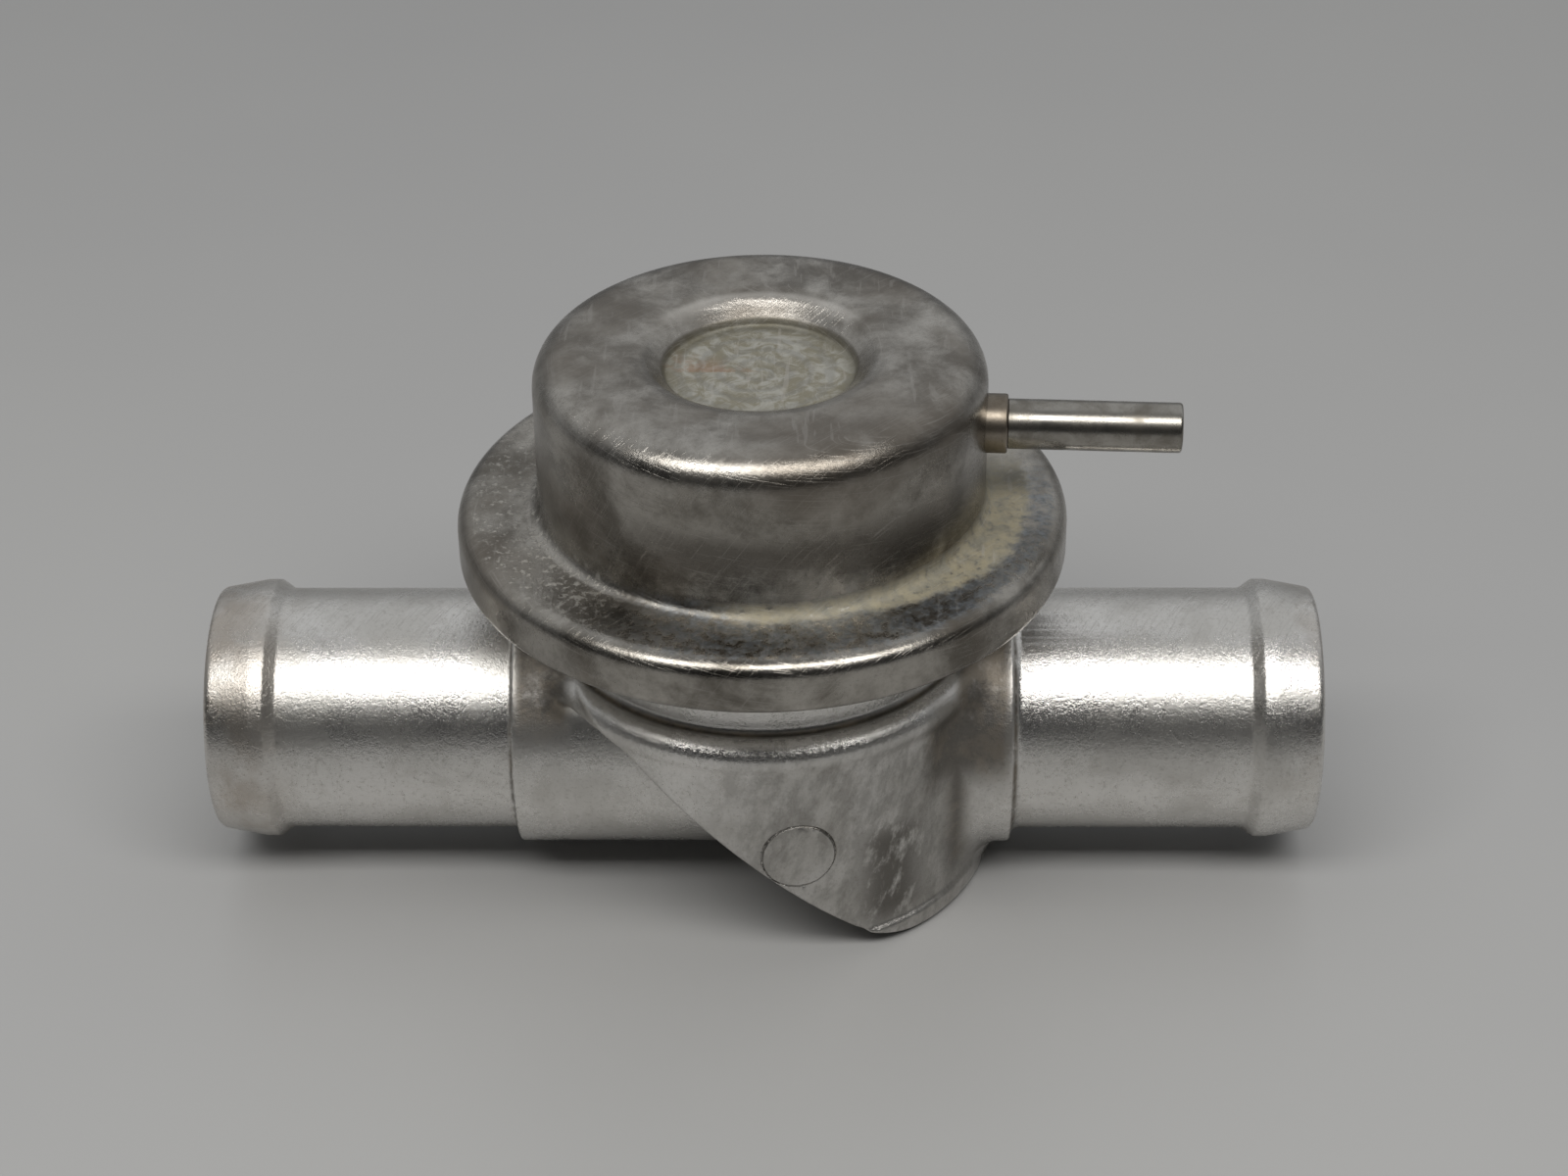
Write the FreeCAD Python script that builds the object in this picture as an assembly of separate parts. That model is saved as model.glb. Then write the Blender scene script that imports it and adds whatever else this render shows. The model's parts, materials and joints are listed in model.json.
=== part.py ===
import FreeCAD, Part
import math
import os

# Vacuum-operated air shut-off valve with two hose stubs in line.
#
# Millimetres. Z is the axis of the vacuum can and of the valve stem, +Z up.
# X runs along the two hose stubs: the inlet is at -X and the outlet at +X.
# The origin is on the can's axis, at the level of the flat bottom of the housing.
# The valve is drawn shut: the spring holds the rubber face on the seat.

V = FreeCAD.Vector

# ---- Driving dimensions: outside of the casting ----
hose_d = 25.0               # outside diameter of the hose stubs
pipe_z = 15.45              # height of the stubs' common axis
pipe_half = 56.75           # from the can's axis to the end of a stub
sleeve_r = 13.9             # thick middle part of the pipe
sleeve_half = 25.4
inlet_step_round = 0.35     # hollow rounding at the foot of the sleeve's step
outlet_step_round = 1.0
housing_r = 23.25           # upright drum under the can
shoulder_z = 26.55          # top of the drum
neck_r = 20.8               # narrower neck between the drum and the rim
flange_t = 2.0              # flange that the can is crimped over
foot_r = 23.7               # the drum's foot, a little wider than the drum
foot_h = 2.1
ledge_z = 24.45             # underside of the ledge that goes all round under the neck
oblique_deg = 41.4          # slope of the drum's slanting underside
oblique_foot_x = 12.75      # where the slanting underside would reach the flat bottom
oblique_round = 14.0        # rounding between the slanting underside and the flat bottom

# ---- Driving dimensions: round mark of an ejector pin on the drum's front ----
mark_r = 3.6
mark_x = 3.74
mark_z = 13.5
mark_proud = 0.12

# ---- Driving dimensions: bead of a hose stub ----
bead_r = 13.43
bead_foot = 49.4            # distance from the can's axis to the inner foot of the bead
bead_rise = 1.3
bead_land = 1.3
stub_tip_round = 0.8

# ---- Driving dimensions: air ways ----
bore_r = 10.25              # bore of the stubs
chamber_r = 18.2            # chamber under the rim
mouth_lead = 0.5            # lead-in at a bore's open end
floor_wall = 3.0            # thickness of the chamber's floor
elbow_wall = 2.65           # wall of the elbow that carries the seat
seat_bore_r = 9.2
seat_outer_r = 11.6
seat_z = 28.4               # level of the valve seat

# ---- Driving dimensions: rim and can ----
sheet = 1.0                 # thickness of the can's steel
rim_r = 30.6
rim_top_z = 41.5
rim_under_z = 35.75
can_r = 22.4
can_top_z = 58.25
dimple_r = 9.3
dimple_depth = 2.65
wall_top_r = 9.55           # top of the dimple's steep wall
wall_top_drop = 1.95
lip_r = 11.5                # top of the slope above that wall
lip_drop = 0.35
lip_outer_r = 12.9          # where the can's top starts to bend towards the dimple
can_corner = 3.4
foot_corner = 1.3
rim_corner = 1.9
crimp_r = 27.2              # inner edge of the steel rolled under the rim

# ---- Driving dimensions: vacuum nipple ----
nipple_r = 2.48
nipple_spigot_r = 2.2       # thinner end that passes through the collar and the can's wall
nipple_bore_r = 1.6
nipple_tip_chamfer = 0.35
nipple_shoulder_chamfer = 0.1
nipple_reach = 41.5         # from the can's axis to the nipple's open end
nipple_z = 50.5
nipple_turn_deg = -3.06     # the nipple's turn about Z, away from +X
collar_r = 2.95
collar_end = 24.4

# ---- Driving dimensions: diaphragm and valve ----
lift = 5.0                  # travel of the valve
stem_r = 2.0
stem_tip_r = 1.5
diaphragm_t = 0.8
cup_r = 15.9
cup_edge_h = 2.2            # upturned edge of the cup
crown_r = 9.4               # raised middle of the cup
disc_r = 12.6
washer_r = 5.0
backing_r = 6.0
clip_r = 3.4
rivet_head_r = 3.2
spring_mean_r = 13.4
spring_wire_r = 0.6

# ---- Levels worked out from the above ----
hose_r = hose_d / 2
flange_under_z = rim_under_z + sheet
flange_top_z = flange_under_z + flange_t
gasket_t = 0.4
guide_t = 0.6
gasket_top_z = flange_top_z + gasket_t
guide_top_z = gasket_top_z + guide_t
clamp_top_z = rim_top_z - sheet
plate_z = 42.0              # underside of the plate below the diaphragm
plate_t = 1.0
membrane_z = plate_z + plate_t
cup_z = membrane_z + diaphragm_t
cup_top_z = cup_z + plate_t
can_inner_top_z = can_top_z - sheet
dimple_under_z = can_top_z - dimple_depth - sheet
stem_top_z = dimple_under_z - lift - 0.1
rivet_head_t = 1.0
washer_t = 0.6
crown_top_z = stem_top_z - rivet_head_t - washer_t
spacer_r = stem_r + 0.9
clearance = 0.05            # radial clearance of the stem, and gap between seal and seat
snug = 0.02                 # gap of two pieces that are held tight together
skirt_gap = 0.2             # between the rolled skirt and what it holds
clamped_r = rim_r - sheet - skirt_gap
seal_t = 1.5
disc_t = 1.2
valve_face_z = seat_z + clearance
disc_z = valve_face_z + seal_t
stem_shoulder_z = disc_z + disc_t
backing_t = 0.9
clip_t = 0.6
groove_depth = 0.45         # groove in the stem's tip that the clip sits in
hub_under_z = 36.6
hub_r = 5.2
bush_r = 4.4
bush_top_z = 40.2
stem_seal_top_z = 41.2
retainer_top_z = 41.6


def corner_points(before, corner, after, radius):
    """Start, middle and end of the arc that rounds one corner of an outline."""
    to_before = (before - corner).normalize()
    to_after = (after - corner).normalize()
    half_angle = to_before.getAngle(to_after) / 2
    reach = radius / math.tan(half_angle)
    start = corner + to_before * reach
    end = corner + to_after * reach
    inward = (to_before + to_after).normalize()
    middle = corner + inward * (radius / math.sin(half_angle) - radius)
    return start, middle, end


def rounded_face(corners, place):
    """A flat face from corners (a, b, rounding radius); place turns (a, b) into a point."""
    points = [place(a, b) for a, b, _ in corners]
    edges = []
    starts = []
    ends = []
    for index, (_, _, radius) in enumerate(corners):
        point = points[index]
        if radius:
            after = points[(index + 1) % len(points)]
            start, middle, end = corner_points(points[index - 1], point, after, radius)
            edges.append(Part.Arc(start, middle, end).toShape())
            starts.append(start)
            ends.append(end)
        else:
            starts.append(point)
            ends.append(point)
    for index, end in enumerate(ends):
        start = starts[(index + 1) % len(starts)]
        if end.distanceToPoint(start) > 1e-6:
            edges.append(Part.LineSegment(end, start).toShape())
    wire = Part.Wire(Part.__sortEdges__(edges))
    return Part.Face(wire)


def turned(corners):
    """A solid of revolution about Z from corners (radius, z, rounding)."""
    face = rounded_face(corners, lambda r, z: V(r, 0, z))
    return face.revolve(V(0, 0, 0), V(0, 0, 1), 360)


def turned_pipe(corners):
    """A solid of revolution about the stubs' axis from corners (x, radius, rounding)."""
    face = rounded_face(corners, lambda x, r: V(x, 0, pipe_z + r))
    return face.revolve(V(0, 0, pipe_z), V(1, 0, 0), 360)


def sheet_corners(outside, thickness):
    """Corners of a bent sheet's section, from those of its outside, which starts on the axis."""
    points = [V(r, 0, z) for r, z, _ in outside]
    steps = [(after - before).normalize() for before, after in zip(points, points[1:])]
    inward = [V(step.z, 0, -step.x) for step in steps]
    inside = [(points[0] + inward[0] * thickness, 0)]
    for index in range(1, len(steps)):
        before = inward[index - 1]
        after = inward[index]
        shift = (before + after) * (thickness / (1 + before.dot(after)))
        bends_in = steps[index].dot(before) > 0
        change = -thickness if bends_in else thickness
        inside.append((points[index] + shift, outside[index][2] + change))
    inside.append((points[-1] + inward[-1] * thickness, outside[-1][2]))
    return outside + [(point.x, point.z, rounding) for point, rounding in reversed(inside)]


def ring(inner_r, outer_r, low_z, high_z, rounding=0.0):
    """A flat ring, or a disc where inner_r is 0, with rounded outer edges."""
    corners = [
        (inner_r, low_z, 0),
        (outer_r, low_z, rounding),
        (outer_r, high_z, rounding),
        (inner_r, high_z, 0),
    ]
    return turned(corners)


def cylinder(radius, low_z, high_z):
    return Part.makeCylinder(radius, high_z - low_z, V(0, 0, low_z))


def along_pipe(radius, low_x, high_x):
    return Part.makeCylinder(radius, high_x - low_x, V(low_x, 0, pipe_z), V(1, 0, 0))


def along_nipple(radius, near, far):
    """A cylinder on the nipple's axis, between two distances from the can's axis."""
    turn = math.radians(nipple_turn_deg)
    direction = V(math.cos(turn), math.sin(turn), 0)
    start = direction * near + V(0, 0, nipple_z)
    return Part.makeCylinder(radius, far - near, start, direction)


def above_oblique(wall, reach=90.0):
    """The space above the flat bottom and the slanting underside, both moved in by wall."""
    slope = math.radians(oblique_deg)
    foot_x = oblique_foot_x + wall * math.tan(slope / 2)
    outline = [
        (foot_x, wall, oblique_round - wall),
        (reach, wall, 0),
        (reach, reach, 0),
        (foot_x - reach / math.tan(slope), wall + reach, 0),
    ]
    face = rounded_face(outline, lambda x, z: V(x, -reach, z))
    return face.extrude(V(0, 2 * reach, 0))


# ---- Casting ----
def pipe_outside():
    """Both hose stubs with their beads, and the thick sleeve between them."""
    bead_start = bead_foot + bead_rise
    bead_end = bead_start + bead_land
    taper_end_r = hose_r + 0.05

    def stub(step_round):
        return [
            (sleeve_half, sleeve_r, 0.35),
            (sleeve_half, hose_r, step_round),
            (bead_foot, hose_r, 0.6),
            (bead_start, bead_r, 0.3),
            (bead_end, bead_r, 0.5),
            (pipe_half, taper_end_r, stub_tip_round),
            (pipe_half, 0, 0),
        ]

    inlet = [(-x, r, rounding) for x, r, rounding in stub(inlet_step_round)]
    return turned_pipe(stub(outlet_step_round)[::-1] + inlet)


def housing_outside():
    """The upright drum: its foot, its slanting underside and the ledge under the neck."""
    drum = turned([
        (0, 0, 0),
        (foot_r, 0, 0.5),
        (foot_r, foot_h, 0.2),
        (housing_r, foot_h + 0.5, 0.3),
        (housing_r, shoulder_z, 1.5),
        (0, shoulder_z, 0),
    ])
    ledge = turned([
        (0, ledge_z, 0),
        (housing_r, ledge_z, 0.3),
        (housing_r, shoulder_z, 1.5),
        (0, shoulder_z, 0),
    ])
    return drum.common(above_oblique(0)).fuse(ledge)


def neck_outside():
    """The neck and the round flange that the can is crimped over."""
    buried_z = shoulder_z - 4.0
    return turned([
        (0, buried_z, 0),
        (neck_r, buried_z, 0),
        (neck_r, flange_under_z, 1.5),
        (clamped_r, flange_under_z, 0.3),
        (clamped_r, flange_top_z, 0.2),
        (0, flange_top_z, 0),
    ])


def pin_mark():
    """The flat round mark of an ejector pin on the front of the drum."""
    angle = -math.acos(mark_x / housing_r)
    direction = V(math.cos(angle), math.sin(angle), 0)
    depth = housing_r - 3.0
    length = housing_r + mark_proud - depth
    return Part.makeCylinder(mark_r, length, direction * depth + V(0, 0, mark_z), direction)


def elbow(radius, riser_r, end_x):
    """A pipe from the inlet side that turns up to the seat in a round elbow."""
    run = along_pipe(radius, end_x, 0)
    knee = Part.makeSphere(radius, V(0, 0, pipe_z))
    riser = cylinder(riser_r, pipe_z, seat_z)
    return run.fuse([knee, riser])


def chamber():
    """The hollow round the elbow, open at the top, which leads to the outlet."""
    well = cylinder(chamber_r, 0, flange_top_z + 1)
    well = well.common(above_oblique(floor_wall))
    return well.cut(elbow(bore_r + elbow_wall, seat_outer_r, -chamber_r - 5))


def mouth(side):
    """The bore's small lead-in at the end of a stub."""
    start = V(pipe_half - mouth_lead, 0, pipe_z)
    cone = Part.makeCone(bore_r, bore_r + mouth_lead, mouth_lead, start, V(1, 0, 0))
    if side < 0:
        cone = cone.mirror(V(0, 0, 0), V(1, 0, 0))
    return cone


def valve_body():
    drum = housing_outside().fuse(pin_mark())
    body = drum.fuse([pipe_outside(), neck_outside()])
    inlet = elbow(bore_r, seat_bore_r, -pipe_half - 1)
    riser_top = cylinder(seat_bore_r, seat_z - 1, seat_z + 1)
    outlet = along_pipe(bore_r, bore_r + elbow_wall + 1, pipe_half + 1)
    body = body.cut([chamber(), outlet])
    body = body.cut([inlet, riser_top, mouth(1), mouth(-1)])
    relief = ring(seat_bore_r + 1.5, seat_outer_r + 1, seat_z - 0.5, seat_z + 1)
    return body.cut(relief)


# ---- Vacuum can, with its rim rolled round the flange ----
def vacuum_can():
    shell = turned(sheet_corners([
        (0, can_top_z - dimple_depth, 0),
        (dimple_r, can_top_z - dimple_depth, 0.5),
        (wall_top_r, can_top_z - wall_top_drop, 1.2),
        (lip_r, can_top_z - lip_drop, 2.2),
        (lip_outer_r, can_top_z, 4.0),
        (can_r, can_top_z, can_corner),
        (can_r, rim_top_z, foot_corner),
        (rim_r, rim_top_z, rim_corner),
        (rim_r, rim_under_z, 1.2),
        (crimp_r, rim_under_z, 0.4),
    ], sheet))
    return shell.cut(along_nipple(nipple_spigot_r + snug, can_r - 5, can_r + 5))


def vacuum_nipple():
    """The tube from the collar outwards, and its spigot through the can's wall."""
    tube = along_nipple(nipple_r, collar_end, nipple_reach)
    tip_edges = [edge for edge in tube.Edges if edge.BoundBox.Center.x > nipple_reach - 1]
    shoulder_edges = [edge for edge in tube.Edges if edge.BoundBox.Center.x < collar_end + 1]
    tube = tube.makeChamfer(nipple_tip_chamfer, tip_edges)
    tube = tube.makeChamfer(nipple_shoulder_chamfer, shoulder_edges)
    tube = tube.fuse(along_nipple(nipple_spigot_r, can_r - 1.6, collar_end))
    return tube.cut(along_nipple(nipple_bore_r, 0, nipple_reach + 1))


def nipple_collar():
    """The brazed collar between the can's wall and the nipple."""
    collar = along_nipple(collar_r, can_r - 1, collar_end)
    collar = collar.cut(along_nipple(nipple_spigot_r + snug, 0, nipple_reach))
    return collar.cut(cylinder(can_r + snug, rim_top_z, can_top_z))


# ---- Clamped under the can's rim ----
def body_gasket():
    return ring(chamber_r + 0.4, clamped_r, flange_top_z, gasket_top_z)


def guide_plate():
    """The bulkhead plate: clamped rim, stiffening step and the hub that holds the bush."""
    step_r = chamber_r - 2.2
    step_h = 0.8
    plate = turned([
        (bush_r, hub_under_z, 0),
        (hub_r, hub_under_z, 0.2),
        (hub_r, gasket_top_z + step_h, 0.4),
        (step_r, gasket_top_z + step_h, 0.4),
        (step_r + step_h, gasket_top_z, 0.4),
        (clamped_r, gasket_top_z, 0),
        (clamped_r, guide_top_z, 0),
        (step_r + step_h + 0.3, guide_top_z, 0.4),
        (step_r + 0.3, guide_top_z + step_h, 0.4),
        (hub_r + 0.3, guide_top_z + step_h, 0.4),
        (hub_r + 0.3, retainer_top_z, 0.2),
        (bush_r, retainer_top_z, 0),
    ])
    vent = Part.makeBox(12, 1.6, 0.4, V(chamber_r, -0.8, guide_top_z - 0.3))
    return plate.cut(vent)


def guide_bush():
    return ring(stem_r + clearance, bush_r, hub_under_z, bush_top_z)


def stem_seal():
    return turned([
        (stem_r + clearance, bush_top_z, 0),
        (bush_r, bush_top_z, 0),
        (bush_r, stem_seal_top_z, 0),
        (stem_r + 1.0, stem_seal_top_z, 0.2),
        (stem_r + clearance, stem_seal_top_z - 0.5, 0),
    ])


def seal_retainer():
    return ring(stem_r + 0.6, bush_r, stem_seal_top_z, retainer_top_z)


def diaphragm():
    """Clamped rim, a rise through the fold, and the flat centre held between the plates."""
    hole_r = spacer_r + 0.1
    fold_outer_r = 20.6
    fold_inner_r = 17.2
    edge_r = rim_r - rim_corner - 0.1
    return turned([
        (hole_r, membrane_z, 0),
        (fold_inner_r, membrane_z, 0.8),
        (fold_outer_r, guide_top_z, 0.8),
        (edge_r, guide_top_z, 0.2),
        (edge_r, clamp_top_z, 0.2),
        (fold_outer_r + 0.3, clamp_top_z, 1.2),
        (fold_inner_r + 0.3, membrane_z + diaphragm_t, 1.0),
        (hole_r, membrane_z + diaphragm_t, 0),
    ])


# ---- Moving with the stem ----
def diaphragm_plate():
    return turned([
        (stem_r + snug, plate_z, 0),
        (cup_r - 1.2, plate_z, 0.6),
        (cup_r - 0.2, membrane_z - 0.1, 0.3),
        (cup_r - 1.0, membrane_z, 0),
        (stem_r + snug, membrane_z, 0),
    ])


def diaphragm_cup():
    """The drawn cup over the diaphragm: spring seat, raised crown and upturned edge."""
    return turned([
        (stem_r + snug, crown_top_z - plate_t, 0),
        (crown_r - plate_t, crown_top_z - plate_t, 0.8),
        (crown_r - plate_t, cup_z, 0.8),
        (cup_r, cup_z, 1.4),
        (cup_r, cup_z + cup_edge_h, 0.3),
        (cup_r - plate_t, cup_z + cup_edge_h, 0.3),
        (cup_r - plate_t, cup_top_z, 0.4),
        (crown_r, cup_top_z, 0.5),
        (crown_r, crown_top_z, 1.6),
        (stem_r + snug, crown_top_z, 0),
    ])


def stem_washer():
    return ring(stem_r + snug, washer_r, crown_top_z, stem_top_z - rivet_head_t, 0.2)


def valve_stem():
    """The stem: riveted head, collar under the plate, long shank and grooved tip."""
    tip_z = disc_z - seal_t - backing_t - clip_t - 0.9
    stem = turned([
        (0, tip_z, 0),
        (stem_tip_r, tip_z, 0.3),
        (stem_tip_r, stem_shoulder_z, 0),
        (stem_r, stem_shoulder_z, 0),
        (stem_r, stem_top_z - rivet_head_t, 0),
        (rivet_head_r, stem_top_z - rivet_head_t, 0),
        (rivet_head_r, stem_top_z, 0.5),
        (0, stem_top_z, 0),
    ])
    groove_z = valve_face_z - backing_t - clip_t
    groove = ring(stem_tip_r - groove_depth, stem_tip_r + 1, groove_z, groove_z + clip_t)
    return stem.cut(groove)


def stem_sleeve():
    """The spacer tube that clamps the crown against the plate under the diaphragm."""
    return ring(stem_r + snug, spacer_r, membrane_z, crown_top_z - plate_t)


def valve_disc():
    """The pressed steel disc that backs the rubber face, with a turned-down edge."""
    edge_t = 0.7
    return turned([
        (stem_tip_r + snug, disc_z, 0),
        (disc_r - edge_t, disc_z, 0),
        (disc_r - edge_t, disc_z - 0.8, 0.2),
        (disc_r, disc_z - 0.8, 0.2),
        (disc_r, stem_shoulder_z, 0.7),
        (stem_tip_r + snug, stem_shoulder_z, 0),
    ])


def valve_seal():
    return ring(stem_tip_r + snug, disc_r - 0.75, valve_face_z, disc_z, 0.3)


def backing_washer():
    return ring(stem_tip_r + snug, backing_r, valve_face_z - backing_t, valve_face_z, 0.2)


def valve_clip():
    """An E-clip in the groove of the stem's tip."""
    clip_z = valve_face_z - backing_t - clip_t
    mouth_half = stem_tip_r - 0.6
    relief_r = 0.75
    clip = ring(stem_tip_r - groove_depth + snug, clip_r, clip_z, clip_z + clip_t)
    slot = Part.makeBox(2 * clip_r, 2 * mouth_half, 2, V(0, -mouth_half, clip_z - 0.5))
    clip = clip.cut(slot)
    for angle in (120, 240):
        relief = Part.makeCylinder(relief_r, 2, V(stem_tip_r + 0.35, 0, clip_z - 0.5))
        relief.rotate(V(0, 0, 0), V(0, 0, 1), angle)
        clip = clip.cut(relief)
    return clip


def return_spring():
    """A helical spring whose first and last turns lie closed, swept round the can's axis."""
    low_z = cup_top_z + spring_wire_r + snug
    height = can_inner_top_z - spring_wire_r - snug - low_z
    closed = spring_wire_r * 2 + 0.05
    turns = height / (2 * closed) + 1
    steps = int(turns * 24)
    points = []
    for step in range(steps + 1):
        turn = turns * step / steps
        left = turns - turn
        if turn < 1:
            z = closed * turn * turn
        elif left < 1:
            z = height - closed * left * left
        else:
            z = closed * (2 * turn - 1)
        angle = 2 * math.pi * turn
        points.append(V(spring_mean_r * math.cos(angle), spring_mean_r * math.sin(angle), low_z + z))
    path = Part.BSplineCurve()
    path.interpolate(points)
    start_direction = path.tangent(path.FirstParameter)[0]
    section = Part.Wire(Part.makeCircle(spring_wire_r, points[0], start_direction))
    sweep = Part.BRepOffsetAPI.MakePipeShell(Part.Wire(path.toShape()))
    sweep.setFrenetMode(True)
    sweep.add(section)
    sweep.build()
    sweep.makeSolid()
    return sweep.shape()


PIECES = {
    "valve_body": valve_body,
    "vacuum_can": vacuum_can,
    "vacuum_nipple": vacuum_nipple,
    "nipple_collar": nipple_collar,
    "body_gasket": body_gasket,
    "guide_plate": guide_plate,
    "guide_bush": guide_bush,
    "stem_seal": stem_seal,
    "seal_retainer": seal_retainer,
    "diaphragm": diaphragm,
    "diaphragm_plate": diaphragm_plate,
    "diaphragm_cup": diaphragm_cup,
    "stem_washer": stem_washer,
    "stem_sleeve": stem_sleeve,
    "valve_stem": valve_stem,
    "valve_disc": valve_disc,
    "valve_seal": valve_seal,
    "backing_washer": backing_washer,
    "valve_clip": valve_clip,
    "return_spring": return_spring,
}

os.makedirs("parts", exist_ok=True)
for name, make in PIECES.items():
    shape = make()
    if len(shape.Solids) == 1:
        shape = shape.Solids[0]
    box = shape.BoundBox
    print(f"{name}: {len(shape.Solids)} solid, valid {shape.isValid()}, {shape.Volume:.1f} mm3,"
          f" x {box.XMin:.2f}..{box.XMax:.2f}, y {box.YMin:.2f}..{box.YMax:.2f},"
          f" z {box.ZMin:.2f}..{box.ZMax:.2f}")
    shape.exportStep(f"parts/{name}.step")
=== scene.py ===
import json
import math

import bmesh
import bpy
import numpy as np
from mathutils import Matrix, Vector


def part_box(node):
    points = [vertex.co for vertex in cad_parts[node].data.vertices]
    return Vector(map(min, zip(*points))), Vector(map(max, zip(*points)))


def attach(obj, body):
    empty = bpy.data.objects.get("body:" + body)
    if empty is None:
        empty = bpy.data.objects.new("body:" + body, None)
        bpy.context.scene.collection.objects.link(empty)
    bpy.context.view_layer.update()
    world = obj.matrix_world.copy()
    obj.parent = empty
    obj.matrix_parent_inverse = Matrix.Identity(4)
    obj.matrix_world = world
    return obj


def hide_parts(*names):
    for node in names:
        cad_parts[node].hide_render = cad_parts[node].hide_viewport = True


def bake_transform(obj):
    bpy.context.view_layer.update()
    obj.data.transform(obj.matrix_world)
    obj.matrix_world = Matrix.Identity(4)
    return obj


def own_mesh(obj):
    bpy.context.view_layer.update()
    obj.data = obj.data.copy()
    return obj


# Vacuum-operated air shut-off valve with two hose stubs in line.
#
# Metres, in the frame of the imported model: X along the hose stubs, Z up along the can.
# The casting, the can, the nipple and its collar, the spring and the diaphragm get finer
# meshes of the same size and shape; every other piece keeps its mesh and gets a material.

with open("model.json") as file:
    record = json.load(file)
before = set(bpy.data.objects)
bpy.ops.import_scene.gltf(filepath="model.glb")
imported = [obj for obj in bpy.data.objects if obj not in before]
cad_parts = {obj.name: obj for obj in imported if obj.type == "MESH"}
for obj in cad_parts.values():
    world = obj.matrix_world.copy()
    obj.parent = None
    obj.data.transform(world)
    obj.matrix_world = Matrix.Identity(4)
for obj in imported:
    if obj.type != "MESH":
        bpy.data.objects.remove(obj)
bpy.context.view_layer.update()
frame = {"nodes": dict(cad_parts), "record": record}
MM = 0.001


# ---- Sizes, from the frame where it holds them ----
def mount(name):
    return next(m for m in frame["record"]["mounts"] if m["name"] == name)


def across(node):
    """Half the width of a round node, its lowest level and its highest level."""
    low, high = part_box(node)
    return (high.y - low.y) / 2, low.z, high.z


rim_r, rim_under_z, can_top_z = across("vacuum_can")
flange_r, body_bottom_z, flange_top_z = across("valve_body")
pipe_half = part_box("valve_body")[1].x
pipe_z = mount("outlet_bead")["pos_m"][2]
bead_r = mount("outlet_bead")["dims"]["r_mm"] * MM
nipple_r = mount("vacuum_nipple_end")["dims"]["r_mm"] * MM
nipple_z = mount("vacuum_nipple_end")["pos_m"][2]
nipple_axis = Vector(mount("vacuum_nipple_end")["axis"])

sheet = 1.0 * MM            # thickness of the can's steel
rim_top_z = can_top_z - 16.75 * MM
can_r = 22.4 * MM
dimple_r = 9.3 * MM
dimple_depth = 2.65 * MM
wall_top_r = 9.55 * MM      # top of the dimple's steep wall
wall_top_drop = 1.95 * MM
lip_r = 11.5 * MM           # top of the slope above that wall
lip_drop = 0.35 * MM
lip_outer_r = 12.9 * MM
rolled_edge_r = 27.2 * MM   # where the sheet ends under the casting's flange
nipple_reach = 41.5 * MM    # from the can's axis to the nipple's open end
nipple_bore_r = 1.6 * MM
spigot_r = 2.2 * MM         # thinner end of the nipple, through the collar and the can
spigot_start = can_r - 1.6 * MM
collar_r = 2.95 * MM
collar_start = can_r - 0.5 * MM
collar_end = 24.4 * MM
spring_wire_r = 0.6 * MM
spring_mean_r = 13.4 * MM
stem_hole_r = 3.0 * MM      # hole in the diaphragm
rubber = 0.8 * MM           # thickness of the diaphragm
hose_r = 12.5 * MM
bead_foot = 49.4 * MM       # from the can's axis to the inner foot of a stub's bead
bead_rise = 1.3 * MM
bead_land = 1.3 * MM
sleeve_r = 13.9 * MM
sleeve_half = 25.4 * MM
housing_r = 23.25 * MM
foot_r = 23.7 * MM
foot_h = 2.1 * MM
ledge_z = 24.45 * MM
shoulder_z = 26.55 * MM
neck_r = 20.8 * MM
oblique_foot_x = 12.75 * MM
oblique_slope = math.radians(41.4)
oblique_round = 14.0 * MM
mark_r = 3.6 * MM           # round mark of an ejector pin on the drum's front
mark_x = 3.74 * MM
mark_z = 13.5 * MM
mark_proud = 0.05 * MM
mark_ring_r = mark_r + 0.1 * MM
mark_groove_depth = 0.1 * MM
bore_r = 10.25 * MM
chamber_r = 18.2 * MM
floor_wall = 3.0 * MM
elbow_r = bore_r + 2.65 * MM
seat_bore_r = 9.2 * MM
seat_outer_r = 11.6 * MM
seat_z = 28.4 * MM
flange_under_z = rim_under_z + sheet

CASTING_TRIANGLES = 165000


# ---- Outlines with rounded corners ----
def rounded_outline(corners, steps=6):
    """Points of a closed outline from corners (a, b, rounding radius), arcs included."""
    points = []
    for index, (a, b, radius) in enumerate(corners):
        corner = np.array((a, b), float)
        if not radius:
            points.append(corner)
            continue
        before = np.array(corners[index - 1][:2], float) - corner
        after = np.array(corners[(index + 1) % len(corners)][:2], float) - corner
        before /= np.linalg.norm(before)
        after /= np.linalg.norm(after)
        half = math.acos(np.clip(before @ after, -1, 1)) / 2
        reach = radius / math.tan(half)
        inward = (before + after) / np.linalg.norm(before + after)
        centre = corner + inward * radius / math.sin(half)
        start = corner + before * reach - centre
        end = corner + after * reach - centre
        turn = math.atan2(start[0] * end[1] - start[1] * end[0], start @ end)
        for step in range(steps + 1):
            angle = turn * step / steps
            cos, sin = math.cos(angle), math.sin(angle)
            spun = np.array((start[0] * cos - start[1] * sin, start[0] * sin + start[1] * cos))
            points.append(centre + spun)
    return np.array(points)


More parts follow.
